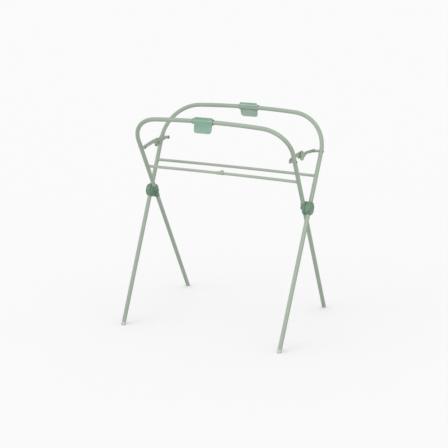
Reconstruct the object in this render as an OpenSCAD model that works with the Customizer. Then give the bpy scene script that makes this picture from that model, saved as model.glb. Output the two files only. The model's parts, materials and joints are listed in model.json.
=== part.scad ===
// Folding stand for a baby bath: two bent tube frames crossed in an X, a bar
// across each, moulded hubs where the legs cross, a toggle stay at each end,
// and a clip on each top rail that holds the rim of the bath.
//
// World frame: origin on the floor under the fold axis, X along the fold axis,
// -Y to the front, +Z up. Each frame is drawn flat in its own plane, with X
// across it, Z up along it from the fold axis and Y square to it, and is then
// leaned. The inner frame runs from the front rail to the rear feet, and the
// outer frame from the rear rail to the front feet.

/* [Stand] */
// Height of the fold axis above the floor
hub_height = 571; // [520:1:620]
// Lean of each frame from upright, in degrees
lean = 28.1; // [26:0.1:30]
// Distance from the fold axis up each frame to the middle of its top rail
frame_rise = 443.5; // [425:0.5:470]
// Outside diameter of the frame tube
tube_d = 19; // [18:0.5:20]
// Wall of the frame tube
tube_wall = 1.5; // [1:0.1:2]
// Angle between the two frames when the stand is folded, in degrees
folded_angle = 11.2; // [11:0.1:14]

/* [Inner frame] */
// Half width of the inner frame at the fold axis
inner_half = 374.5; // [340:0.5:400]
// Splay of the inner frame's legs towards the top, in degrees
inner_toe = 0.5; // [0.3:0.1:0.7]
// Radius of the inner frame's upper corners
inner_bend_r = 130; // [126:1:140]
// Radius of the slow arch of the front rail
inner_crown_r = 3200; // [2800:50:4000]

/* [Outer frame] */
// Distance between the legs of the two frames at the fold axis
leg_gap = 25.5; // [25:0.1:28]
// Splay of the outer frame's legs towards the top, in degrees
outer_toe = 0.9; // [0.7:0.1:1.2]
// Radius of the outer frame's upper corners
outer_bend_r = 175; // [165:1:180]
// Radius of the slow arch of the rear rail
outer_crown_r = 3700; // [3200:50:4500]

/* [Cross bars] */
// Diameter of the cross bars
bar_d = 13; // [11:0.5:14]
// Wall of the cross bars
bar_wall = 1.2; // [1:0.1:2]
// Distance from the fold axis up each frame to the ends of its cross bar
bar_up = 150; // [140:1:170]
// Bow of the front cross bar at its middle
inner_bar_bow = 4; // [2:0.5:8]
// Bow of the rear cross bar at its middle
outer_bar_bow = 2.5; // [1:0.5:8]

/* [Hubs] */
// Diameter of the round hub shells
hub_d = 60; // [54:1:66]
// Gap between the two shells of a hub
hub_gap = 1.5; // [1.2:0.1:2]
// Thickness of the inner shell's round plate
inner_plate_t = 11.5; // [8:0.5:14]
// Radius of the sleeve of the inner shell round the leg
inner_sleeve_r = 11.2; // [11:0.1:13]
// Reach of that sleeve up the leg from the fold axis
inner_sleeve_up = 28; // [24:1:34]
// Reach of that sleeve down the leg from the fold axis
inner_sleeve_down = 32; // [26:1:36]
// Cover of the outer shell outside the leg
outer_cover = 4; // [3.6:0.1:6]
// Rounding of the outer shell's rim
outer_round = 6; // [3:0.5:7]
// Diameter of the fold axle
axle_d = 8; // [6:0.5:9]

/* [Stays] */
// Distance from the fold axis up each leg to the stay's pivot
pivot_up = 264; // [262:1:270]
// Depth of the front arm's bar
front_arm_w = 17; // [15:0.5:17]
// Depth of the rear arm's bar
rear_arm_w = 13; // [11:0.5:14]
// Thickness of the arm bars
arm_t = 4; // [3:0.5:4]
// Radius of the eye at each arm's leg end
eye_r = 8.5; // [8.5:0.1:9]
// Rise of the front arm's bar above the line of the pivots at the knuckle
arm_rise = 12.5; // [11:0.5:13]
// Distance from the middle of the leg in to the middle of the front arm
front_arm_in = 21.6; // [21.2:0.1:23]
// Gap between the front arm and the rear arm
arm_gap = 1.4; // [1.2:0.1:2]
// Step of the rear arm's eye outwards, to its wider leg
joggle = 8; // [6:0.5:9]
// Radius of the head of the rear arm round the knuckle pin
head_r = 19; // [17:0.5:19]
// Radius of the knuckle cover
cover_r = 20.5; // [19.5:0.5:20.5]
// Diameter of the pivot rivets
rivet_d = 5; // [4:0.5:6]
// Diameter of the knuckle pin
pin_d = 6; // [5:0.5:7]

/* [Rim clips] */
// Length of a rim clip along its rail
clip_l = 98; // [90:1:110]
// Thickness of the clip's shell
clip_t = 3; // [2.5:0.1:3.5]
// Height of the clip's lip above the middle of the rail
lip_up = 19; // [17:0.5:24]
// Length of the clip's lip
lip_l = 86; // [80:1:90]
// Width of the clip's tongue where it leaves the rail
tongue_w = 88; // [80:1:88]
// Width of the flat of the tongue's lower edge
tongue_end_w = 56; // [48:1:56]
// Depth of the tongue below the middle of the rail
tongue_drop = 48; // [42:1:52]
// Reach of the tongue's lower edge out from the middle of the rail
tongue_reach = 20; // [17:0.5:23]
// Distance of the lip's and the tongue's middle from the shell's
tongue_off = 5; // [3:0.5:6]
// Place of the front clip's middle along its rail
front_clip_x = -15; // [-20:1:20]
// Place of the rear clip's middle along its rail
rear_clip_x = 12; // [-20:1:20]

/* [Fold buffer] */
// Length of the buffer's sleeve on the front cross bar
buffer_l = 32; // [30:1:40]
// Wall of the buffer's sleeve
buffer_wall = 1.2; // [1:0.1:2]
// Width of the buffer's hump at its foot
buffer_foot_w = 30; // [24:1:30]
// Width of the buffer's hump at its top
buffer_top_w = 11; // [9:1:16]
// Thickness of the buffer's hump
buffer_t = 6; // [5:0.5:8]

/* [Feet] */
// Length of the plug of a foot inside the tube
plug_l = 22; // [15:1:30]
// Distance along the leg from the floor to the tube's end
foot_l = 12; // [8:0.5:16]
// Step of the foot beyond the tube's surface
foot_step = 0.3; // [0.2:0.1:1]

/* [Fits] */
// Radial clearance of pins and of tubes in their sleeves
fit = 0.05; // [0.02:0.01:0.08]
// Radial clearance of the cross bars in their holes in the legs
bar_fit = 0.15; // [0.1:0.01:0.3]
// Gap between pieces that turn past each other
run_gap = 0.3; // [0.2:0.05:0.4]
// Radial clearance of a rim clip on its arched rail
clip_gap = 0.6; // [0.5:0.05:0.8]

/* [Hidden] */
$fn = 72;
crown_fn = 1440;  // segments in a full turn of a rail's arch, which is only a few degrees of it
bar_fn = 7200;    // and of a cross bar's bow
eps = 0.01;

tube_r = tube_d / 2;
bar_r = bar_d / 2;
outer_half = inner_half + leg_gap;
hub_r = hub_d / 2;
axle_r = axle_d / 2;
rivet_r = rivet_d / 2;
pin_r = pin_d / 2;
seam_gap = 0.03;  // hairline between the tube's straights and bends
seam_l = 3;       // length of the ring inside the wall that joins them

// A leg's length from the fold axis to the floor, measured up the frame
leg_down = hub_height / cos(lean);

// Half width of a frame's straight leg at a height up its plane
function leg_x(half, toe, up) = half + up * tan(toe);
// Angle at which a frame's corner bend meets the arch of its rail
function crown_half_angle(half, toe, bend_r, crown_r) =
    toe + asin(cos(toe) * (half - bend_r * cos(toe)
        + (frame_rise - crown_r - bend_r * sin(toe)) * tan(toe)) / (crown_r - bend_r));
// Centre of a frame's corner bend: half width and height
function bend_x(al, bend_r, crown_r) = (crown_r - bend_r) * sin(al);
function bend_up(al, bend_r, crown_r) = frame_rise - crown_r + (crown_r - bend_r) * cos(al);
// Height at which the straight leg meets that bend
function join_up(al, toe, bend_r, crown_r) = bend_up(al, bend_r, crown_r) - bend_r * sin(toe);
// Half width of a frame at a height up its plane, on its leg or on its bend
function tube_x(half, toe, bend_r, crown_r, al, up) =
    up < join_up(al, toe, bend_r, crown_r) ? leg_x(half, toe, up)
    : bend_x(al, bend_r, crown_r) + sqrt(pow(bend_r, 2) - pow(up - bend_up(al, bend_r, crown_r), 2));
// Drop of an arch of radius r at a distance x from its middle
function arch_drop(r, x) = r - sqrt(r * r - x * x);
// Radius of a bow of half length c and height h
function bow_r(c, h) = (c * c + h * h) / (2 * h);

// Hub: the shells meet half way between the legs
mid_x = (inner_half + outer_half) / 2;
inner_plate_x = mid_x - hub_gap / 2;
outer_shell_x = mid_x + hub_gap / 2;
outer_face_x = outer_half + tube_r + outer_cover;
washer_t = hub_gap - run_gap;
inner_boss_x = inner_half - inner_sleeve_r - 1;  // the boss stands 1 mm in from the sleeve
washer_r = hub_r - 0.6;
boss_r = 9;
axle_head_r = 6.5;
axle_head_t = 1.7;
cap_t = 1.5;
cap_r = 12;

// Stays, in the vertical plane along Y through each end of the stand
pivot_y = pivot_up * sin(lean);
pivot_z = pivot_up * cos(lean);
front_al = crown_half_angle(inner_half, inner_toe, inner_bend_r, inner_crown_r);
rear_al = crown_half_angle(outer_half, outer_toe, outer_bend_r, outer_crown_r);
front_leg_x = tube_x(inner_half, inner_toe, inner_bend_r, inner_crown_r, front_al, pivot_up);
rear_leg_x = tube_x(outer_half, outer_toe, outer_bend_r, outer_crown_r, rear_al, pivot_up);
front_arm_x0 = front_leg_x - front_arm_in - arm_t / 2;
front_arm_x1 = front_arm_x0 + arm_t;
rear_arm_x0 = front_arm_x1 + arm_gap;
rear_arm_x1 = rear_arm_x0 + arm_t;
rear_eye_x0 = rear_arm_x0 + joggle;
rear_eye_x1 = rear_arm_x1 + joggle;
cover_t = 2.6;
spacer_r = 6;
rivet_head_r = 4;
rivet_head_t = 1.8;
rivet_round = 1.2;
plate_l = 52;       // plate at the knuckle end of the front arm
plate_down = 7;     // how far it reaches below the knuckle pin
plate_past = 20;    // and how far past it
plate_up = arm_rise + front_arm_w / 2;
plate_round = 5;
arm_lift = 3;       // rise of the front arm's bar at its eye
bar_end = 50;       // distance from the knuckle pin at which that bar has risen
rear_rise = 4;      // rise of the rear arm's bar before its eye
flare = 52;         // and at which the rear arm's head has become its bar
joggle_at = 60;     // distance from the knuckle pin at which the rear arm steps outwards
joggle_l = 30;      // length of that step

// Rim clips
clip_r = tube_r + clip_gap;
clip_or = clip_r + clip_t;
wrap_in = 150;      // angle from outward, over the top, at which the shell ends
wrap_out = -62;     // and under the rail, along the middle
wrap_tab = -112;    // and under the rail, at the two end tabs
tab_l = 9;
lip_t = 3.4;
lip_out = 6;        // middle of the lip, out from the middle of the rail
lip_round = 4;
tongue_top = -2;    // height at which the tongue leaves the shell
tongue_in = clip_or - clip_t;
tongue_dx = tongue_reach - tongue_in;
tongue_dz = tongue_drop + tongue_top;
tongue_turn = 2 * atan(tongue_dx / tongue_dz);
tongue_r = (tongue_dx * tongue_dx + tongue_dz * tongue_dz) / (2 * tongue_dx);
tongue_round = 14;

// Fold buffer: its hump ends just under the rear bar when the stand is folded
bar_mid_up = bar_up + inner_bar_bow;
rear_bar_mid_up = bar_up + outer_bar_bow;
hump_up = rear_bar_mid_up * sin(folded_angle) - bar_r - run_gap;
hump_mid_up = rear_bar_mid_up * cos(folded_angle);
hump_dome_r = 14;
buffer_r = bar_r + fit + buffer_wall;

// Feet: the height of the space over the floor that they lie in
foot_zone = foot_l + plug_l + tube_d;

left = -1;
right = 1;
coat = [0.64, 0.70, 0.63];
dark_green = [0.43, 0.56, 0.48];
teal_green = [0.57, 0.71, 0.63];
steel = [0.45, 0.47, 0.45];
foot_grey = [0.66, 0.68, 0.66];

// ---- Placing ---------------------------------------------------------------

// A piece of one end of the stand, drawn at +X
module at_end(side) {
    mirror([side < 0 ? 1 : 0, 0, 0]) children();
}

// A frame's own plane, leaned: +1 brings the top to the front
module in_plane(tilt) {
    translate([0, 0, hub_height]) rotate([tilt * lean, 0, 0]) children();
}

// A leg's own axis, with Z up along it from the level of the fold axis
module on_leg(half, toe) {
    translate([half, 0, 0]) rotate([0, toe, 0]) children();
}

// A round bar along X, from x0 to x1
module rod_x(x0, x1, r) {
    translate([x0, 0, 0]) rotate([0, 90, 0]) cylinder(h = x1 - x0, r = r);
}

// A flat outline in the YZ plane, made thick from x0 to x1
module slab_x(x0, x1) {
    translate([x0, 0, 0]) rotate([90, 0, 90]) linear_extrude(height = x1 - x0) children();
}

// ---- Frames ----------------------------------------------------------------

// A profile swept along an arc in the frame's plane, from angle a0 to a1
module arc_sweep(path_r, a0, a1, fn) {
    rotate([90, 0, 0]) mirror([0, 0, 1]) rotate([0, 0, a0])
        rotate_extrude(angle = a1 - a0, $fn = fn) translate([path_r, 0]) children();
}

// A tube's wall as an outline
module tube_outline(r, wall) {
    difference() {
        circle(r = r, $fn = 48);
        circle(r = r - wall, $fn = 48);
    }
}

// An arc of the frame tube, ending half a hairline short at each end
module tube_arc(path_r, a0, a1, fn) {
    short = seam_gap / 2 / path_r * 180 / PI;
    arc_sweep(path_r, a0 + short, a1 - short, fn) tube_outline(tube_r, tube_wall);
}

// A ring inside the tube's wall that joins two lengths across their hairline seam
module seam_ring() {
    translate([0, 0, -seam_l / 2]) linear_extrude(height = seam_l)
        tube_outline(tube_r - tube_wall / 3, tube_wall / 3);
}

// One tube: two legs, two corners and the slow arch of the rail
module frame_path(half, toe, bend_r, crown_r) {
    al = crown_half_angle(half, toe, bend_r, crown_r);
    join = join_up(al, toe, bend_r, crown_r) / cos(toe);
    leg_end = leg_down / cos(toe) - foot_l;
    for (side = [left, right]) at_end(side) {
        on_leg(half, toe) {
            translate([0, 0, -leg_end]) rotate([0, 0, 90])
                linear_extrude(height = leg_end + join - seam_gap / 2)
                    tube_outline(tube_r, tube_wall);
            translate([0, 0, join]) seam_ring();
        }
        translate([bend_x(al, bend_r, crown_r), 0, bend_up(al, bend_r, crown_r)])
            tube_arc(bend_r, -toe, 90 - al, 96);
        translate([0, 0, frame_rise - crown_r]) rotate([0, al, 0])
            translate([0, 0, crown_r]) rotate([0, 90, 0]) seam_ring();
    }
    translate([0, 0, frame_rise - crown_r]) tube_arc(crown_r, 90 - al, 90 + al, crown_fn);
}

// The tube, drilled for the fold axles, the rivets of the stays and the cross bar's ends
module frame_tube(half, toe, bend_r, crown_r) {
    bar_x = leg_x(half, toe, bar_up);
    difference() {
        frame_path(half, toe, bend_r, crown_r);
        for (side = [left, right]) at_end(side) {
            rod_x(half - tube_d, half + tube_d, axle_r + fit);
            translate([0, 0, pivot_up])
                rod_x(half - tube_d, half + tube_d + pivot_up * tan(toe), rivet_r + fit);
            translate([0, 0, bar_up]) rod_x(bar_x - tube_d, bar_x, bar_r + bar_fit);
        }
    }
}

module inner_frame() {
    color(coat) in_plane(1) frame_tube(inner_half, inner_toe, inner_bend_r, inner_crown_r);
}

module outer_frame() {
    color(coat) in_plane(-1) frame_tube(outer_half, outer_toe, outer_bend_r, outer_crown_r);
}

// A tubular cross bar, bowed up in the frame's plane; its ends are let into the legs
module cross_bar(half, toe, bow) {
    end_x = leg_x(half, toe, bar_up);
    r = bow_r(end_x, bow);
    a = asin(end_x / r);
    translate([0, 0, bar_up + bow - r])
        arc_sweep(r, 90 - a, 90 + a, bar_fn) tube_outline(bar_r, bar_wall);
}

module inner_cross_bar() {
    color(coat) in_plane(1) cross_bar(inner_half, inner_toe, inner_bar_bow);
}

module outer_cross_bar() {
    color(coat) in_plane(-1) cross_bar(outer_half, outer_toe, outer_bar_bow);
}

// Sleeve on the front bar with a domed hump, which the rear bar stops just over when folded
module fold_buffer() {
    color(coat) in_plane(1) translate([0, 0, bar_mid_up]) difference() {
        union() {
            rod_x(-buffer_l / 2, buffer_l / 2, buffer_r);
            translate([0, 0, hump_mid_up - bar_mid_up - buffer_t / 2])
                linear_extrude(height = buffer_t) hump_outline();
        }
        rod_x(-buffer_l, buffer_l, bar_r + fit);
    }
}

module hump_outline() {
    intersection() {
        polygon([[-buffer_foot_w / 2, 0], [buffer_foot_w / 2, 0],
                 [buffer_top_w / 2, hump_up], [-buffer_top_w / 2, hump_up]]);
        translate([0, hump_up - hump_dome_r]) circle(r = hump_dome_r);
    }
}

// ---- Feet ------------------------------------------------------------------

// A plug in the tube's end, with a shoe that is cut flat by the floor
module foot(side, tilt, half, toe) {
    color(foot_grey) intersection() {
        at_end(side) in_plane(tilt) on_leg(half, toe) translate([0, 0, -leg_down / cos(toe)]) {
            translate([0, 0, -foot_l]) cylinder(h = 2 * foot_l, r = tube_r + foot_step);
            translate([0, 0, foot_l - eps])
                cylinder(h = plug_l, r = tube_r - tube_wall - fit);
        }
        translate([-outer_half * 2, -hub_height, 0])
            cube([outer_half * 4, 2 * hub_height, foot_zone]);
    }
}

// ---- Hubs ------------------------------------------------------------------

// A disc along X with rounded rims: round0 at its x0 face and round1 at its x1 face
module rounded_disc(x0, x1, r, round0, round1) {
    t = x1 - x0;
    translate([x0, 0, 0]) rotate([0, 90, 0]) rotate_extrude() {
        translate([0, round0]) square([r, t - round0 - round1]);
        if (round0 > 0) rim_corner(r, round0, round0, 0);
        if (round1 > 0) rim_corner(r, round1, t - round1, t - round1);
    }
}

// The corner of a disc's outline: a quarter circle round height z, and the square in from it
module rim_corner(r, round, z, low_z) {
    translate([0, low_z]) square([r - round, round]);
    intersection() {
        translate([r - round, z]) circle(r = round, $fn = 48);
        translate([r - round, low_z]) square([round, round]);
    }
}

// Inner shell: a round plate against the washer and a sleeve round the leg
module inner_hub(side) {
    color(dark_green) at_end(side) in_plane(1) difference() {
        union() {
            rounded_disc(inner_plate_x - inner_plate_t, inner_plate_x, hub_r, 2, 0.6);
            on_leg(inner_half, inner_toe) translate([0, 0, -inner_sleeve_down])
                cylinder(h = inner_sleeve_down + inner_sleeve_up, r = inner_sleeve_r);
            rod_x(inner_boss_x, inner_half, boss_r);
        }
        on_leg(inner_half, inner_toe) translate([0, 0, -hub_d])
            cylinder(h = 2 * hub_d, r = tube_r + fit, $fn = 48);
        rod_x(inner_boss_x - 1, inner_plate_x + 1, axle_r + fit);
        rod_x(inner_boss_x - 1, inner_boss_x + axle_head_t, axle_head_r + fit);
        // The sleeve stays clear of the outer shell
        translate([inner_plate_x, -hub_r, -hub_r * 2]) cube([hub_r, hub_d, hub_d * 2]);
    }
}

// Outer shell: a thick round housing that the outer frame's leg runs through
module outer_hub(side) {
    color(dark_green) at_end(side) in_plane(-1) difference() {
        rounded_disc(outer_shell_x, outer_face_x, hub_r, 0.6, outer_round);
        on_leg(outer_half, outer_toe) translate([0, 0, -hub_d])
            cylinder(h = 2 * hub_d, r = tube_r + fit, $fn = 48);
        rod_x(outer_shell_x - 1, outer_half, axle_r + fit);
        rod_x(outer_half, outer_face_x + 1, axle_head_r + fit);
        rod_x(outer_face_x - cap_t + run_gap, outer_face_x + 1, cap_r + fit);
    }
}

// Fold axle, headed inside the inner shell's boss and under the outer cap
module hub_axle(side) {
    head_x = outer_half + tube_r + run_gap;
    color(steel) at_end(side) in_plane(1) {
        rod_x(inner_boss_x + eps, inner_boss_x + axle_head_t, axle_head_r);
        rod_x(inner_boss_x + axle_head_t - eps, head_x + eps, axle_r);
        rod_x(head_x, head_x + axle_head_t, axle_head_r);
    }
}

// Plain disc between the two shells, nearly as wide as they are
module hub_washer(side) {
    color(dark_green) at_end(side) in_plane(1) difference() {
        rod_x(inner_plate_x, inner_plate_x + washer_t, washer_r);
        rod_x(inner_plate_x - 1, inner_plate_x + hub_gap, axle_r + fit);
    }
}

// Round caps over the two ends of the axle
module inner_hub_cap(side) {
    color(dark_green) at_end(side) in_plane(1)
        rounded_disc(inner_boss_x - cap_t, inner_boss_x, boss_r, 1, 0);
}

module outer_hub_cap(side) {
    color(dark_green) at_end(side) in_plane(-1)
        rounded_disc(outer_face_x - cap_t + run_gap, outer_face_x + run_gap, cap_r, 0, 1);
}

// ---- Stays -----------------------------------------------------------------

// The stays' own frame: the fold axis' height, at the YZ place of a pivot
module at_pivot(y) {
    translate([0, y, hub_height + pivot_z]) children();
}

// A straight bar outline between two points, with a round end on each
module bar_outline(p0, p1, r0, r1) {
    d = p1 - p0;
    l = norm(d);
    turn = atan2(d.y, d.x);
    a = acos((r0 - r1) / l);
    dir0 = [cos(turn + a), sin(turn + a)];
    dir1 = [cos(turn - a), sin(turn - a)];
    translate(p0) circle(r = r0);
    translate(p1) circle(r = r1);
    polygon([p0 + r0 * dir0, p0 + r0 * dir1, p1 + r1 * dir1, p1 + r1 * dir0]);
}

// A plate outline with rounded corners
module round_plate(x, y, l, w, r) {
    translate([x, y + r]) square([l, w - 2 * r]);
    translate([x + r, y]) square([l - 2 * r, w]);
    for (cx = [x + r, x + l - r], cy = [y + r, y + w - r])
        translate([cx, cy]) circle(r = r, $fn = 32);
}

// Front arm, turning on the inner frame: an eye, a bar that rises, and a plate at the knuckle
module front_arm(side) {
    half_w = front_arm_w / 2;
    color(coat) at_end(side) at_pivot(-pivot_y) difference() {
        slab_x(front_arm_x0, front_arm_x1) {
            circle(r = eye_r);
            bar_outline([0, arm_lift], [pivot_y - bar_end, arm_rise], half_w - 0.5, half_w);
            translate([pivot_y - bar_end, arm_rise - half_w]) square([bar_end, front_arm_w]);
            round_plate(pivot_y + plate_past - plate_l, -plate_down,
                        plate_l, plate_down + plate_up, plate_round);
        }
        rod_x(front_arm_x0 - 1, front_arm_x1 + 1, rivet_r + fit);
        translate([0, pivot_y, 0]) rod_x(front_arm_x0 - 1, front_arm_x1 + 1, pin_r + fit);
    }
}

// Rear arm, turning on the knuckle pin: a round head that runs out below into a bar, which
// steps outwards and then falls to its eye
module rear_arm(side) {
    step_end = joggle_at + joggle_l;
    half_w = rear_arm_w / 2;
    color(coat) at_end(side) at_pivot(0) difference() {
        union() {
            slab_x(rear_arm_x0, rear_arm_x1) rear_head();
            translate([0, 0, rear_rise - half_w]) linear_extrude(height = rear_arm_w)
                polygon([[rear_arm_x0, joggle_at], [rear_arm_x1, joggle_at],
                         [rear_eye_x1, step_end], [rear_eye_x0, step_end]]);
            slab_x(rear_eye_x0, rear_eye_x1) {
                translate([step_end, rear_rise - half_w]) square([half_w, rear_arm_w]);
                bar_outline([step_end + half_w, rear_rise], [pivot_y, 0], half_w, half_w - eps);
                translate([pivot_y, 0]) circle(r = eye_r);
            }
        }
        rod_x(rear_arm_x0 - 1, rear_arm_x1 + 1, pin_r + fit);
        translate([0, pivot_y, 0]) rod_x(rear_eye_x0 - 1, rear_eye_x1 + 1, rivet_r + fit);
    }
}

// The rear arm's outline from its head to the step
module rear_head() {
    half_w = rear_arm_w / 2;
    circle(r = head_r);
    translate([0, rear_rise - half_w]) square([joggle_at, rear_arm_w]);
    difference() {
        bar_outline([0, 0], [flare, rear_rise], head_r, half_w - eps);
        translate([-head_r, rear_rise]) square([flare + 2 * head_r, head_r]);
    }
}

// Knuckle pin, riveted in the rear arm's cover and headed inside the front arm
module knuckle_pin(side) {
    head_x = front_arm_x0 - run_gap;
    color(steel) at_end(side) at_pivot(0) {
        rounded_disc(head_x - rivet_head_t, head_x, rivet_head_r, rivet_round, 0);
        rod_x(head_x - eps, rear_arm_x1 + cover_t / 2, pin_r);
    }
}

module knuckle_washer(side) {
    color(steel) at_end(side) at_pivot(0) difference() {
        rod_x(front_arm_x1 + run_gap, rear_arm_x0, spacer_r * 1.5);
        rod_x(front_arm_x1, rear_arm_x1, pin_r + fit);
    }
}

// Round moulded cover on the outside of the knuckle, with a shallow dome
module knuckle_cover(side) {
    color(coat) at_end(side) at_pivot(0) difference() {
        rounded_disc(rear_arm_x1, rear_arm_x1 + cover_t, cover_r, 0, cover_t * 0.6);
        rod_x(rear_arm_x1 - 1, rear_arm_x1 + cover_t / 2, pin_r + fit);
    }
}

// Rivet through the inner frame's leg, on which the front arm turns
module front_rivet(side) {
    inner_head_x = front_arm_x0 - run_gap;
    outer_head_x = front_leg_x + tube_r;
    color(steel) at_end(side) at_pivot(-pivot_y) {
        rounded_disc(inner_head_x - rivet_head_t, inner_head_x, rivet_head_r, rivet_round, 0);
        rod_x(inner_head_x - eps, outer_head_x + eps, rivet_r);
        rounded_disc(outer_head_x, outer_head_x + rivet_head_t, rivet_head_r, 0, rivet_round);
    }
}

// Rivet through the outer frame's leg: its inner end stops inside the spacer
module rear_rivet(side) {
    outer_head_x = rear_leg_x + tube_r;
    color(steel) at_end(side) at_pivot(pivot_y) {
        rod_x(rear_eye_x1 + 1, outer_head_x + eps, rivet_r);
        rounded_disc(outer_head_x, outer_head_x + rivet_head_t, rivet_head_r, 0, rivet_round);
    }
}

// The rear arm's own end of the pivot: a headed stud in its eye
module rear_stud(side) {
    color(steel) at_end(side) at_pivot(pivot_y) {
        rounded_disc(rear_eye_x0 - rivet_head_t, rear_eye_x0, rivet_head_r, rivet_round, 0);
        rod_x(rear_eye_x0 - eps, rear_eye_x1, rivet_r);
    }
}

// A spacer from x0 to a leg, hollowed to sit on the tube
module spacer(side, tilt, y, x0, leg_at) {
    color(coat) at_end(side) difference() {
        at_pivot(y) rod_x(x0, leg_at, spacer_r);
        at_pivot(y) rod_x(x0 - 1, leg_at + 1, rivet_r + fit);
        in_plane(tilt) children();
    }
}

// The space that a frame's tube takes near the stay's pivot: its straight leg, or its bend
// where that comes as low as the spacer
module tube_space(half, toe, bend_r, crown_r, al) {
    if (join_up(al, toe, bend_r, crown_r) > pivot_up + spacer_r)
        on_leg(half, toe) translate([0, 0, pivot_up - tube_d])
            cylinder(h = 2 * tube_d, r = tube_r, $fn = 48);
    else
        translate([bend_x(al, bend_r, crown_r), 0, bend_up(al, bend_r, crown_r)])
            arc_sweep(bend_r, -15, 15, 96) circle(r = tube_r, $fn = 48);
}

module front_spacer(side) {
    spacer(side, 1, -pivot_y, front_arm_x1 + run_gap, front_leg_x)
        tube_space(inner_half, inner_toe, inner_bend_r, inner_crown_r, front_al);
}

module rear_spacer(side) {
    spacer(side, -1, pivot_y, rear_eye_x1 + run_gap, rear_leg_x)
        tube_space(outer_half, outer_toe, outer_bend_r, outer_crown_r, rear_al);
}

// ---- Rim clips -------------------------------------------------------------

// A sector of the clip's shell, from angle a0 to a1, as an outline
module shell_sector(a0, a1) {
    difference() {
        circle(r = clip_or);
        circle(r = clip_r);
        wedge(a1, a0 + 360, 3 * clip_or);
    }
}

// A pie slice from angle a0 to a1, under 180 degrees
module wedge(a0, a1, r) {
    mid = (a0 + a1) / 2;
    polygon([[0, 0], r * [cos(a0), sin(a0)], r * [cos(mid), sin(mid)], r * [cos(a1), sin(a1)]]);
}

// The tongue's curved section: it leaves the shell straight down and flares out
module tongue_section() {
    translate([tongue_in + tongue_r, tongue_top]) difference() {
        circle(r = tongue_r, $fn = 180);
        circle(r = tongue_r - clip_t, $fn = 180);
        rotate([0, 0, 180 + tongue_turn]) translate([-4 * tongue_r, 0])
            square([8 * tongue_r, 8 * tongue_r]);
        translate([-4 * tongue_r, 0]) square([8 * tongue_r, 8 * tongue_r]);
        translate([0, -4 * tongue_r]) square([4 * tongue_r, 8 * tongue_r]);
    }
}

// The tongue's outline from the front: it narrows to a rounded lower edge
module tongue_front() {
    side_low = tongue_drop - tongue_round;
    side_x = tongue_end_w / 2 + tongue_round;
    polygon([[-tongue_w / 2, clip_r], [-side_x, -side_low],
             [side_x, -side_low], [tongue_w / 2, clip_r]]);
    translate([-tongue_end_w / 2, -tongue_drop]) square([tongue_end_w, tongue_drop]);
    for (sx = [-1, 1]) translate([sx * tongue_end_w / 2, -side_low]) circle(r = tongue_round);
}

// One clip, drawn on the X axis with Y outwards and Z up
module clip_body() {
    // Shell round the rail, with end tabs that snap under it
    rotate([90, 0, 90]) translate([0, 0, -clip_l / 2]) {
        linear_extrude(height = clip_l) shell_sector(wrap_out, wrap_in);
        for (z = [0, clip_l - tab_l]) translate([0, 0, z])
            linear_extrude(height = tab_l) shell_sector(wrap_tab, wrap_in);
    }
    // Lip that stands up behind the rim of the bath
    difference() {
        translate([0, lip_out + lip_t / 2, 0]) rotate([90, 0, 0]) linear_extrude(height = lip_t)
            round_plate(-tongue_off - lip_l / 2, 0, lip_l, lip_up, lip_round);
        rod_x(-clip_l, clip_l, clip_r + clip_t / 2);
    }
    // Tongue
    translate([-tongue_off, 0, 0]) intersection() {
        rotate([90, 0, 90]) translate([0, 0, -tongue_w / 2])
            linear_extrude(height = tongue_w) tongue_section();
        translate([0, 3 * tongue_reach, 0]) rotate([90, 0, 0])
            linear_extrude(height = 6 * tongue_reach) tongue_front();
    }
}

// A clip's place: half way down the small drop of its arched rail over its length
module rim_clip(tilt, x, crown_r) {
    drop = arch_drop(crown_r, abs(x) + clip_l / 2) / 2;
    up = frame_rise - drop;
    translate([x, -tilt * up * sin(lean), hub_height + up * cos(lean)])
        rotate([0, 0, tilt > 0 ? 180 : 0]) clip_body();
}

module front_clip() {
    color(teal_green) rim_clip(1, front_clip_x, inner_crown_r);
}

module rear_clip() {
    color(teal_green) rim_clip(-1, rear_clip_x, outer_crown_r);
}

// ---- Pieces ----------------------------------------------------------------

inner_frame();
outer_frame();
inner_cross_bar();
outer_cross_bar();
fold_buffer();
inner_hub(left);  // left_inner_hub
inner_hub(right);  // right_inner_hub
outer_hub(left);  // left_outer_hub
outer_hub(right);  // right_outer_hub
hub_axle(left);  // left_hub_axle
hub_axle(right);  // right_hub_axle
hub_washer(left);  // left_hub_washer
hub_washer(right);  // right_hub_washer
inner_hub_cap(left);  // left_inner_hub_cap
inner_hub_cap(right);  // right_inner_hub_cap
outer_hub_cap(left);  // left_outer_hub_cap
outer_hub_cap(right);  // right_outer_hub_cap
front_arm(left);  // left_front_arm
front_arm(right);  // right_front_arm
rear_arm(left);  // left_rear_arm
rear_arm(right);  // right_rear_arm
knuckle_cover(left);  // left_knuckle_cover
knuckle_cover(right);  // right_knuckle_cover
knuckle_pin(left);  // left_knuckle_pin
knuckle_pin(right);  // right_knuckle_pin
knuckle_washer(left);  // left_knuckle_washer
knuckle_washer(right);  // right_knuckle_washer
front_rivet(left);  // left_front_rivet
front_rivet(right);  // right_front_rivet
front_spacer(left);  // left_front_spacer
front_spacer(right);  // right_front_spacer
rear_rivet(left);  // left_rear_rivet
rear_rivet(right);  // right_rear_rivet
rear_spacer(left);  // left_rear_spacer
rear_spacer(right);  // right_rear_spacer
rear_stud(left);  // left_rear_stud
rear_stud(right);  // right_rear_stud
front_clip();
rear_clip();
foot(left, -1, outer_half, outer_toe);  // front_left_foot
foot(right, -1, outer_half, outer_toe);  // front_right_foot
foot(left, 1, inner_half, inner_toe);  // rear_left_foot
foot(right, 1, inner_half, inner_toe);  // rear_right_foot
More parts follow.
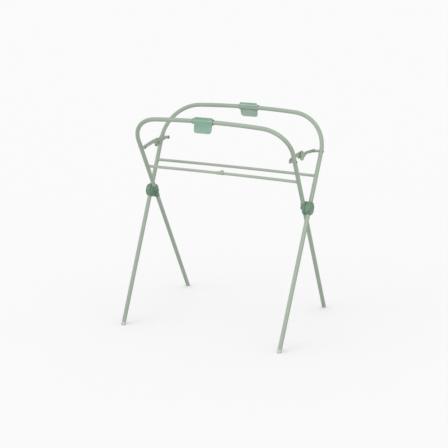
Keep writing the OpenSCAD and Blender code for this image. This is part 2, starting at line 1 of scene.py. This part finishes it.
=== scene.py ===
# %% [markdown]
# # A folding stand for a baby bath
# The stand is two bent steel tubes that cross in an X. A bath hangs by its rim between the two
# top rails. Each tube is coated in a pale grey green, dark green plastic hubs cover the
# crossings, and a moulded clip on each rail keeps the bath's rim in place.
#
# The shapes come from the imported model, which is already in metres and in the right place. What
# is left for this script is how they look: finishes, the small welds, light and camera.

# %% Load the frame
import json
import math

import bpy
from mathutils import Matrix, Vector


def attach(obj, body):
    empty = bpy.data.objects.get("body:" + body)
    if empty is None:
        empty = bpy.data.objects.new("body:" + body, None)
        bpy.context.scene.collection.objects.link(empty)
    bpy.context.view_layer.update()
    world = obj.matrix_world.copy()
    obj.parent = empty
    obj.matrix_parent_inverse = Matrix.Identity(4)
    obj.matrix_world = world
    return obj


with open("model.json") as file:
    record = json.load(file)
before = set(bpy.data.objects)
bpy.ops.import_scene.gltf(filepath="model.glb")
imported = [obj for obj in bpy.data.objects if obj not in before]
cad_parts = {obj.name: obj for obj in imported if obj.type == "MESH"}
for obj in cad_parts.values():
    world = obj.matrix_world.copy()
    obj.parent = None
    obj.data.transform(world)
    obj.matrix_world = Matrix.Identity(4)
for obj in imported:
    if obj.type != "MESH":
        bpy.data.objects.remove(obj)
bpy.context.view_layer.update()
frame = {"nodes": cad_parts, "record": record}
nodes = frame["nodes"]

# %% [markdown]
# ## Colours
# A colour is given as three numbers from 0 to 255, as screens use them. Blender mixes light in
# linear values, so a helper converts each colour once.

# %% A colour helper
def paint(r, g, b):
    """A screen colour as Blender's linear red, green, blue and alpha."""
    def linear(c):
        c /= 255
        return c / 12.92 if c <= 0.04045 else ((c + 0.055) / 1.055) ** 2.4
    return (linear(r), linear(g), linear(b), 1.0)

print("a middle grey in linear light:", round(paint(128, 128, 128)[0], 3))

# %% [markdown]
# ## Small helpers for shader nodes
# The finishes need the same two steps again and again: stretch a value to another range, and mix
# two colours by a mask. Written once as helpers, they keep the functions that follow short.

# %% Helpers for a value's range and for a mix
def ranged(tree, value, low, high, start=0.0, end=1.0):
    """Stretches a value that runs from start to end, so that it runs from low to high."""
    node = tree.nodes.new("ShaderNodeMapRange")
    ends = {"From Min": start, "From Max": end, "To Min": low, "To Max": high}
    for label, number in ends.items():
        node.inputs[label].default_value = number
    tree.links.new(value, node.inputs["Value"])
    return node.outputs["Result"]


def mixed(tree, mask, a, b):
    """Goes from colour a to b as the mask rises. A colour is four numbers or a socket."""
    node = tree.nodes.new("ShaderNodeMix")
    node.data_type = "RGBA"
    tree.links.new(mask, node.inputs["Factor"])
    for label, colour in (("A", a), ("B", b)):
        if isinstance(colour, tuple):
            node.inputs[label].default_value = colour
        else:
            tree.links.new(colour, node.inputs[label])
    return node.outputs["Result"]

print("helpers: ranged and mixed")

# %% [markdown]
# ## Node groups
# Every finish of the stand shows soft edges and a fine grain. Each of the two could be built
# again in every material. A node group is built once, has named inputs and outputs, and is placed
# in each material with its own values, so a change in one place reaches them all. Both groups
# start in the same way, and a helper does that.

# %% A helper for node groups
def new_group(name, inputs, outputs):
    """A shader node group with these inputs and outputs, and its two end nodes."""
    group = bpy.data.node_groups.new(name, "ShaderNodeTree")
    for label, value in inputs.items():
        socket = group.interface.new_socket(label, in_out="INPUT", socket_type="NodeSocketFloat")
        socket.default_value = value
    for label, kind in outputs.items():
        group.interface.new_socket(label, in_out="OUTPUT", socket_type="NodeSocket" + kind)
    return group, group.nodes.new("NodeGroupInput"), group.nodes.new("NodeGroupOutput")

print("helper: new_group")

# %% [markdown]
# ## A group for edges
# Nothing that is bent, pressed or moulded has a perfectly sharp edge. A real edge is rounded by a
# millimetre or so and catches a thin line of light. Cutting that rounding into every mesh would
# be slow, so the Bevel node rounds the shading instead. The rounded and the flat normal differ
# most at an edge, so their difference is a mask as well. On the painted steel the coat is thinner
# and paler there. On the green mouldings the rims and joints are painted darker, as painted
# shade. Noise breaks the mask into patches, because no edge looks the same all along.

# %% Build the edge group
FLAT, SHARP = 0.995, 0.86  # how alike the two normals are beside an edge and on it

def edge_group():
    """A mask of edges, broken into patches, and a normal that is rounded at them."""
    group, given, out = new_group("Soft edge", {"Radius": 0.0008, "Patches per metre": 60.0},
                                  {"Edge": "Float", "Normal": "Vector"})
    add, link = group.nodes.new, group.links.new
    bevel, flat = add("ShaderNodeBevel"), add("ShaderNodeNewGeometry")
    alike, both = add("ShaderNodeVectorMath"), add("ShaderNodeMath")
    coords, patches = add("ShaderNodeTexCoord"), add("ShaderNodeTexNoise")
    bevel.samples = 6
    alike.operation, both.operation = "DOT_PRODUCT", "MULTIPLY"
    patches.inputs["Detail"].default_value = 3.0
    link(given.outputs["Radius"], bevel.inputs["Radius"])
    link(bevel.outputs["Normal"], alike.inputs[0])
    link(flat.outputs["Normal"], alike.inputs[1])
    link(coords.outputs["Object"], patches.inputs["Vector"])
    link(given.outputs["Patches per metre"], patches.inputs["Scale"])
    link(ranged(group, alike.outputs["Value"], 0, 1, FLAT, SHARP), both.inputs[0])
    link(patches.outputs["Fac"], both.inputs[1])
    link(both.outputs["Value"], out.inputs["Edge"])
    link(bevel.outputs["Normal"], out.inputs["Normal"])
    return group

SOFT_EDGE = edge_group()
print("group:", SOFT_EDGE.name)

# %% [markdown]
# ## A group for fine grain
# Powder coat dries with a faint orange peel. Moulded plastic has a fine matt grain, and its tone
# changes slowly where it cooled unevenly. Both are noise at two sizes: a small one for bumps and
# flecks, and a large one for clouds of tone. The scale of a noise counts its blobs per metre, so
# a higher number gives a finer pattern. It is read from Object coordinates, so it stays on a
# piece when the stand folds.

# %% Build the grain group
def grain_group():
    """Small noise for grain and large noise for clouds."""
    counts = {"Grains per metre": 900.0, "Clouds per metre": 7.0}
    group, given, out = new_group("Fine grain", counts, {"Grain": "Float", "Cloud": "Float"})
    add, link = group.nodes.new, group.links.new
    coords = add("ShaderNodeTexCoord")
    for result, detail in (("Grain", 2.0), ("Cloud", 4.0)):
        noise = add("ShaderNodeTexNoise")
        noise.inputs["Detail"].default_value = detail
        link(coords.outputs["Object"], noise.inputs["Vector"])
        link(given.outputs[result + "s per metre"], noise.inputs["Scale"])
        link(noise.outputs["Fac"], out.inputs[result])
    return group

FINE_GRAIN = grain_group()
print("group:", FINE_GRAIN.name)

# %% [markdown]
# ## Grime on the feet
# Only the feet touch the floor. They rub on it and pick up grey dust over the lowest few
# millimetres. A painted map would do it, but height alone says where the grime is. The height is
# the Z of the Object coordinates, because every piece's object sits at the origin.

# %% Grime near the floor
GRIME_HEIGHT, GRIME_MOST = 0.0035, 0.7

def floor_grime(tree, colour, grime):
    """Changes a colour to grime over the lowest few millimetres."""
    coords = tree.nodes.new("ShaderNodeTexCoord")
    split = tree.nodes.new("ShaderNodeSeparateXYZ")
    tree.links.new(coords.outputs["Object"], split.inputs[0])
    low = ranged(tree, split.outputs["Z"], 0, GRIME_MOST, GRIME_HEIGHT, 0)
    return mixed(tree, low, colour, grime)

print("grime up to", GRIME_HEIGHT * 1000, "mm")

# %% [markdown]
# ## One function for every finish
# Every finish of the stand is a solid colour with the same four things on top: clouds of a
# deeper tone, light and dark flecks, fine bumps, and soft edges of another tone. So one function
# builds them, and each finish gives its own numbers. Numbers that are the same all over a
# surface, such as how much it is a metal, are set straight on the shader.

# %% Make a finish
# noise keeps near its middle, so only this part of it is stretched
CLOUD_SPAN, FLECK_SPAN = (0.35, 0.62), (0.3, 0.7)
ROUGH_SWING, BUMP_STRENGTH, COAT_ROUGHNESS = 0.06, 0.6, 0.25

def finish(name, colour, deep, edge_colour, rough, grains, bump, radius, edging,
           speckle=0.05, clouds=7.0, metal=0.0, coat=0.0, grime=None):
    """A material. Grains and clouds are per metre, bump and radius in metres."""
    material = bpy.data.materials.new(name)
    material.use_nodes = True
    tree = material.node_tree
    add, link = tree.nodes.new, tree.links.new
    shader = tree.nodes["Principled BSDF"]
    shader.inputs["Metallic"].default_value = metal
    shader.inputs["Coat Weight"].default_value = coat
    shader.inputs["Coat Roughness"].default_value = COAT_ROUGHNESS
    grain, edge = add("ShaderNodeGroup"), add("ShaderNodeGroup")
    grain.node_tree, edge.node_tree = FINE_GRAIN, SOFT_EDGE
    grain.inputs["Grains per metre"].default_value = grains
    grain.inputs["Clouds per metre"].default_value = clouds
    edge.inputs["Radius"].default_value = radius
    noise = grain.outputs["Grain"]

    tone = mixed(tree, ranged(tree, grain.outputs["Cloud"], 0, 1, *CLOUD_SPAN), deep, colour)
    rimmed = mixed(tree, ranged(tree, edge.outputs["Edge"], 0, edging), tone, edge_colour)
    flecks = add("ShaderNodeHueSaturation")
    link(ranged(tree, noise, 1 - speckle, 1 + speckle, *FLECK_SPAN), flecks.inputs["Value"])
    link(rimmed, flecks.inputs["Color"])
    top = flecks.outputs["Color"]
    link(floor_grime(tree, top, grime) if grime else top, shader.inputs["Base Color"])
    link(ranged(tree, noise, rough - ROUGH_SWING, rough + ROUGH_SWING),
         shader.inputs["Roughness"])

    peel = add("ShaderNodeBump")
    peel.inputs["Strength"].default_value = BUMP_STRENGTH
    peel.inputs["Distance"].default_value = bump
    link(noise, peel.inputs["Height"])
    link(edge.outputs["Normal"], peel.inputs["Normal"])
    link(peel.outputs["Normal"], shader.inputs["Normal"])
    return material

print("groups in every finish:", FINE_GRAIN.name, "and", SOFT_EDGE.name)

# %% [markdown]
# ## The coat on the steel
# The tubes, bars and stay arms look like steel with a baked powder coat: satin, with a faint
# orange peel. It is probably one colour on the real stand. The thin bars are given a tone a
# little paler than the thick tubes, which is painted light, and the flat arms a darker and warmer
# tone, which is painted shade. What they share is written once.

# %% Coats for tubes, bars and arms
COATED = {"grains": 750, "bump": 0.0003, "radius": 0.0006, "edging": 0.5}
powder_coat = finish("powder coat", paint(136, 150, 134), paint(132, 145, 130),
                     paint(163, 174, 161), rough=0.42, coat=0.15, **COATED)
# The bars' paler tone is painted light.
bar_coat_painted_light = finish("bar coat, painted light", paint(145, 156, 143), paint(140, 151, 138),
                  paint(167, 177, 165), rough=0.42, coat=0.15, **COATED)
# The arms' darker, warmer tone is painted shade.
arm_coat_painted_shade = finish("arm coat, painted shade", paint(137, 149, 133), paint(124, 136, 118),
                  paint(158, 169, 153), rough=0.48, coat=0.1, speckle=0.06, **COATED)
print("coats:", powder_coat.name, "/", bar_coat_painted_light.name, "/", arm_coat_painted_shade.name)

# %% [markdown]
# ## The green mouldings
# The hubs and the rim clips are moulded from plastic that is coloured right through. Moulding
# leaves a fine matt grain, and clouds about two centimetres wide where the plastic cooled
# unevenly, so there are many more clouds per metre than on the coat. Rims and joints are darker,
# as painted shade. The clips are glossier than the hubs. The rear clip turns its other side to
# the camera, and its paler colour is painted light.

# %% Plastics for hubs and clips
# The hub's dark edge colour is painted shade along its rims and joints.
hub_plastic = finish("hub plastic", paint(96, 126, 105), paint(80, 109, 89), paint(52, 74, 60),
                     rough=0.5, grains=1300, bump=0.00022, radius=0.003, edging=1.3,
                     speckle=0.08, clouds=55)
CLIPS = {"rough": 0.3, "grains": 1500, "bump": 0.00014, "radius": 0.0022, "edging": 1.2,
         "clouds": 40}
# The front clip's dark edge colour is painted shade along its rims.
front_clip_plastic = finish("front clip plastic", paint(118, 149, 131), paint(108, 140, 121),
                            paint(72, 98, 82), **CLIPS)
# The rear clip's paler colours are painted light, and its dark edge colour is painted shade along
# its rims.
rear_clip_painted_light = finish("rear clip plastic, painted light", paint(139, 163, 149), paint(130, 154, 139),
                           paint(88, 110, 96), **CLIPS)
print("mouldings:", hub_plastic.name, "/", front_clip_plastic.name, "/", rear_clip_painted_light.name)

# %% [markdown]
# ## The pale mouldings
# The round covers on the stays' knuckles are a yellower green than the coat. The buffer on the
# front cross bar is close to the coat's own colour. Both are matt, with paler rims.

# %% Plastics for covers and buffer
PALE = {"rough": 0.5, "grains": 1400, "bump": 0.00018, "radius": 0.0008, "edging": 0.5}
cover_plastic = finish("cover plastic", paint(135, 152, 125), paint(128, 145, 118),
                       paint(156, 170, 147), **PALE)
buffer_plastic = finish("buffer plastic", paint(142, 156, 136), paint(140, 155, 132),
                        paint(162, 175, 155), **PALE)
print("pale mouldings:", cover_plastic.name, "/", buffer_plastic.name)

# %% [markdown]
# ## Rivets and feet
# The rivets, pins and washers are dull steel, darker than all around them, with brighter rims
# where they were pressed. The foot plugs are pale grey plastic, a little rough, with grime at
# the floor.

# %% Steel for rivets and plastic for feet
rivet_steel = finish("rivet steel", paint(92, 99, 90), paint(80, 87, 79), paint(130, 136, 130),
                     rough=0.4, grains=900, bump=0.0001, radius=0.0004, edging=0.6,
                     speckle=0.08, metal=0.6)
foot_plastic = finish("foot plastic", paint(174, 174, 174), paint(163, 164, 163),
                      paint(150, 151, 150), rough=0.6, grains=1100, bump=0.00025,
                      radius=0.0008, edging=0.5, grime=paint(128, 128, 124))
print("finishes:", len(bpy.data.materials))

# %% [markdown]
# ## Put the finishes on the solids
# The record says which slot each node belongs to, so most finishes are picked by slot name. The
# bars and arms share a slot with the tubes, the buffer with the covers, and the two clips with
# each other. Where such a piece has a tone of its own, its name picks the finish instead: the
# buffer's own colour, painted light on the bars and the rear clip, and painted shade on the arms.

# %% Dress the nodes
BY_SLOT = {"frame_coat": powder_coat, "hub_plastic": hub_plastic,
           "clip_plastic": front_clip_plastic, "cover_plastic": cover_plastic,
           "rivet_steel": rivet_steel, "foot_plastic": foot_plastic}
BY_ENDING = {"_cross_bar": bar_coat_painted_light, "_arm": arm_coat_painted_shade, "rear_clip": rear_clip_painted_light,
             "fold_buffer": buffer_plastic}
parts = frame["record"]["subparts"]
for part in parts:
    own = [dress for ending, dress in BY_ENDING.items() if part["node"].endswith(ending)]
    for slot in nodes[part["node"]].material_slots:
        slot.material = own[0] if own else BY_SLOT[part["material_slot"]]
print("dressed:", len(parts))

# %% [markdown]
# ## Welds
# The picture is too small to show how the cross bars are joined to the legs. On such stands they
# are usually welded all round. A plain torus would leave gaps there, because a thin tube meets a
# thicker one along a saddle: a circle of the bar's radius, pushed back where the leg curves away.
# So Geometry Nodes draw the saddle and sweep a small circle along it, and four welds come from
# one tree. The saddle needs some sums on every point of the circle, so a helper for sums comes
# first.

# %% A helper for sums in a tree
def maths(tree, operation, *values):
    """One step of arithmetic on up to three values, each a number or a socket."""
    node = tree.nodes.new("ShaderNodeMath")
    node.operation = operation
    for socket, value in zip(node.inputs, values):
        if isinstance(value, (int, float)):
            socket.default_value = value
        else:
            tree.links.new(value, socket)
    return node.outputs[0]

print("helper: maths")

# %% [markdown]
# ## The saddle line
# The bar points along Z and the leg along X. A point of the bar's circle at height y touches the
# leg at a depth z, with y squared plus z squared equal to the leg's radius squared. So each
# point keeps its x and y and gets that z. The turn round the circle comes out too, because the
# bead's ripples follow it.

# %% The saddle where a bar meets a leg
RING_POINTS = 96

def saddle_line(tree, bar_radius, leg_radius):
    """The line of the weld, and how far round the bar each of its points is."""
    add, link = tree.nodes.new, tree.links.new
    ring = add("GeometryNodeCurvePrimitiveCircle")
    ring.inputs["Resolution"].default_value = RING_POINTS
    link(bar_radius, ring.inputs["Radius"])
    where, split = add("GeometryNodeInputPosition"), add("ShaderNodeSeparateXYZ")
    link(where.outputs[0], split.inputs[0])
    x, y = split.outputs["X"], split.outputs["Y"]
    squares = [maths(tree, "MULTIPLY", side, side) for side in (leg_radius, y)]
    depth = maths(tree, "SQRT", maths(tree, "SUBTRACT", *squares))
    touching = add("ShaderNodeCombineXYZ")
    for value, label in ((x, "X"), (y, "Y"), (depth, "Z")):
        link(value, touching.inputs[label])
    saddle = add("GeometryNodeSetPosition")
    link(ring.outputs[0], saddle.inputs["Geometry"])
    link(touching.outputs[0], saddle.inputs["Position"])
    return saddle.outputs[0], maths(tree, "ARCTAN2", y, x)

print("points on the line:", RING_POINTS)

# %% [markdown]
# ## The bead along the line
# A run of weld is a row of small overlapping pools, so it swells and shrinks as it goes. A sine
# of the turn does that to the line's radius. The radius of a curve scales the profile that is
# swept along it, so the bead swells with it. The ripples are a whole number, which makes them
# meet where the line closes.

# %% Build the weld's tree
BEAD_SIZES = {"Bar radius": 0.0065, "Leg radius": 0.0095, "Bead radius": 0.0014,
              "Ripples": 14, "Swell": 0.1}
BEAD_SIDES = 12

def weld_tree():
    """A geometry tree with named inputs that gives one bead with a finish on it."""
    tree = bpy.data.node_groups.new("Weld bead", "GeometryNodeTree")
    for label, value in BEAD_SIZES.items():
        kind = "Int" if isinstance(value, int) else "Float"
        socket = tree.interface.new_socket(label, in_out="INPUT", socket_type="NodeSocket" + kind)
        socket.default_value = value
    tree.interface.new_socket("Finish", in_out="INPUT", socket_type="NodeSocketMaterial")
    tree.interface.new_socket("Geometry", in_out="OUTPUT", socket_type="NodeSocketGeometry")
    add, link = tree.nodes.new, tree.links.new
    given, out = add("NodeGroupInput"), add("NodeGroupOutput")
    line, turn = saddle_line(tree, given.outputs["Bar radius"], given.outputs["Leg radius"])
    wave = maths(tree, "SINE", maths(tree, "MULTIPLY", turn, given.outputs["Ripples"]))
    size, sweep = add("GeometryNodeSetCurveRadius"), add("GeometryNodeCurveToMesh")
    link(line, size.inputs["Curve"])
    link(maths(tree, "MULTIPLY_ADD", wave, given.outputs["Swell"], 1.0), size.inputs["Radius"])
    profile = add("GeometryNodeCurvePrimitiveCircle")
    profile.inputs["Resolution"].default_value = BEAD_SIDES
    link(given.outputs["Bead radius"], profile.inputs["Radius"])
    link(size.outputs[0], sweep.inputs["Curve"])
    link(profile.outputs[0], sweep.inputs["Profile Curve"])
    smooth, real, dressed = (add("GeometryNode" + kind) for kind in
                             ("SetShadeSmooth", "RealizeInstances", "SetMaterial"))
    link(sweep.outputs[0], smooth.inputs[0])
    link(smooth.outputs[0], real.inputs[0])
    link(real.outputs[0], dressed.inputs["Geometry"])
    link(given.outputs["Finish"], dressed.inputs["Material"])
    link(dressed.outputs[0], out.inputs[0])
    return tree

WELD = weld_tree()
print("tree:", WELD.name, "with", len(WELD.nodes), "nodes")

# %% [markdown]
# ## From a tree to a plain piece
# A piece that is handed on has to be a plain mesh with its object at the origin, or a pattern on
# Object coordinates would slide. So a tree grows on a helper object, and only the mesh that it
# gives is kept. A modifier's input is set by the socket's identifier, because its name is only a
# label.

# %% Grow a plain mesh from a tree
def placed(name, data):
    """A new object in the scene that shows this data."""
    thing = bpy.data.objects.new(name, data)
    bpy.context.collection.objects.link(thing)
    return thing


def grown(name, tree, values):
    """A plain mesh object grown by a geometry tree with these named values."""
    seed = placed(name + "_seed", bpy.data.meshes.new(name + "_seed"))
    grower = seed.modifiers.new("grow", "NODES")
    grower.node_group = tree
    for item in tree.interface.items_tree:
        if item.in_out == "INPUT" and item.name in values:
            grower[item.identifier] = values[item.name]
    ready = seed.evaluated_get(bpy.context.evaluated_depsgraph_get())
    mesh = bpy.data.meshes.new_from_object(ready)
    bpy.data.objects.remove(seed)
    return placed(name, mesh)

inputs = [item.name for item in WELD.interface.items_tree if item.in_out == "INPUT"]
print("inputs of the tree:", inputs)

# %% [markdown]
# ## Where the welds are
# Each frame lies in a plane that leans 28.1 degrees, to the front for the inner frame and to the
# rear for the outer one. Its legs draw in towards the feet, each by less than a degree. The
# numbers that shaped the tubes place the welds as well, so each bead sits where bar and leg
# really meet. The place goes into the bead's points, and its object stays at the origin.

# %% Place the welds
HUB_HEIGHT, LEAN, BAR_UP = 0.571, math.radians(28.1), 0.150
# body: which way it leans, half the width between its legs at the hubs, and their draw in degrees
FRAMES = {"inner_frame_set": (1, 0.3745, 0.5), "outer_frame_set": (-1, 0.400, 0.9)}

def in_plane(tilt):
    """From a frame's own plane, with X across and Z up it, to the world."""
    return Matrix.Translation((0, 0, HUB_HEIGHT)) @ Matrix.Rotation(tilt * LEAN, 4, "X")

welds = []
for body, (tilt, half, draw) in FRAMES.items():
    leg_x = half + BAR_UP * math.tan(math.radians(draw))
    for side, label in ((-1, "left"), (1, "right")):
        bead = grown(f"{body.split('_')[0]}_{label}_weld", WELD,
                     {**BEAD_SIZES, "Finish": powder_coat})
        inward = Matrix.Rotation(-side * math.pi / 2, 4, "Y")
        place = Matrix.Translation((side * leg_x, 0, BAR_UP))
        bead.data.transform(in_plane(tilt) @ place @ inward)
        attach(bead, body)
        welds.append(bead)
print("welds:", [bead.name for bead in welds])

# %% [markdown]
# ## The floor
# The picture's background is plain and nearly white. A floor far larger than the view gives the
# same from every side. Its grey is chosen so that it comes out nearly white in this light. It is
# matt, so it shows nothing but soft shadows round the feet.

# %% Lay the floor
FLOOR_HALF, FLOOR_GREY = 60, 0.785
corners = [(x * FLOOR_HALF, y * FLOOR_HALF, 0) for x, y in ((-1, -1), (1, -1), (1, 1), (-1, 1))]
floor_mesh = bpy.data.meshes.new("floor")
floor_mesh.from_pydata(corners, [], [(0, 1, 2, 3)])
floor = placed("floor", floor_mesh)
floor_paint = bpy.data.materials.new("floor paint")
floor_paint.use_nodes = True
paper = floor_paint.node_tree.nodes["Principled BSDF"]
paper.inputs["Base Color"].default_value = (FLOOR_GREY, FLOOR_GREY, FLOOR_GREY, 1)
paper.inputs["Roughness"].default_value = 0.9
paper.inputs["Specular IOR Level"].default_value = 0.1
floor_mesh.materials.append(floor_paint)
print("floor:", 2 * FLOOR_HALF, "m square")

# %% [markdown]
# ## Light from all round, and from the left
# The picture's light is even, with hardly a shadow. A white sky gives most of it. On its own it
# would make every tube look flat. So a weak sun lamp with a very wide angle comes from the front
# left and gives the left sides a little light of their own. A sun lamp is the same everywhere,
# so the floor stays even.

# %% Sky and left lamp
SKY, LEFT, LEFT_SPREAD, LEFT_FROM = 1.12, 0.62, math.radians(50), (-0.6, -0.6, 0.5)

def shine_from(lamp, direction):
    """Turns a lamp so that its light comes from this direction."""
    lamp.rotation_euler = Vector(direction).to_track_quat("Z", "Y").to_euler()

world = bpy.data.worlds.new("studio")
bpy.context.scene.world = world
world.use_nodes = True
sky = world.node_tree.nodes["Background"]
sky.inputs["Color"].default_value = (1, 1, 1, 1)
sky.inputs["Strength"].default_value = SKY

left_light = bpy.data.lights.new("left lamp", "SUN")
left_light.energy, left_light.angle = LEFT, LEFT_SPREAD
shine_from(placed("left lamp", left_light), LEFT_FROM)
print("sky:", SKY, "left lamp:", LEFT)

# %% [markdown]
# ## A soft box near the right front
# In the picture the right side is a little brighter than the left, and the back legs get darker
# towards their feet. A lamp that is high, near and at the right front gives both, because its
# light fades with distance. On the floor it would leave a bright patch that the picture doesn't
# have. So the lamp is linked to the stand's own pieces and lights nothing else.

# %% Soft box for the stand alone
BOX_SIDE, BOX_WATTS = 1.2, 18.5
BOX_PLACE, BOX_AIM = Vector((1.5, -1.7, 1.7)), Vector((0, 0, 0.6))
box_light = bpy.data.lights.new("soft box", "AREA")
box_light.shape, box_light.size, box_light.energy = "SQUARE", BOX_SIDE, BOX_WATTS
soft_box = placed("soft box", box_light)
soft_box.location = BOX_PLACE
shine_from(soft_box, BOX_PLACE - BOX_AIM)
stand = bpy.data.collections.new("stand")
for piece in [*nodes.values(), *welds]:
    stand.objects.link(piece)
soft_box.light_linking.receiver_collection = stand

# %% [markdown]
# ## Camera
# The camera was found by fitting the two tube frames to the picture, which fixes its place, its
# turn and its lens together. It is a long lens from about five metres, 1.8 metres up, looking
# down by 16 degrees. Its three directions are worked out from the angles and go into its matrix.
# The Standard view shows colours as they are, where a film look would shift them.

# %% Set the camera
YAW, PITCH, ROLL = (math.radians(angle) for angle in (25.617, 16.102, -0.232))
CAMERA_PLACE = (2.013222, -4.236192, 1.805042)
LENS, SENSOR, VIEW_END = 85.26, 36.0, 200.0  # two in millimetres and the last in metres
level = Vector((math.cos(YAW), math.sin(YAW), 0))
forward = Vector((-math.sin(YAW) * math.cos(PITCH), math.cos(YAW) * math.cos(PITCH),
                  -math.sin(PITCH)))
above = level.cross(forward)
right = level * math.cos(ROLL) + above * math.sin(ROLL)
up = above * math.cos(ROLL) - level * math.sin(ROLL)
view = bpy.data.cameras.new("camera")
view.lens, view.sensor_width, view.clip_end = LENS, SENSOR, VIEW_END
camera = placed("camera", view)
camera.matrix_world = Matrix((right, up, -forward)).transposed().to_4x4()
camera.location = CAMERA_PLACE
bpy.context.scene.camera = camera
bpy.context.scene.view_settings.view_transform = "Standard"
print("camera at", [round(v, 3) for v in camera.location])

# %% [markdown]
# ## Count the pieces
# The welds lie within the stand, so the dressed stand should fill the same box as its solids. A
# box that has grown would mean that a piece was put in the wrong place. Only the count of pieces
# is printed here.

# %% Finish
print("pieces:", len(nodes) + len(welds))
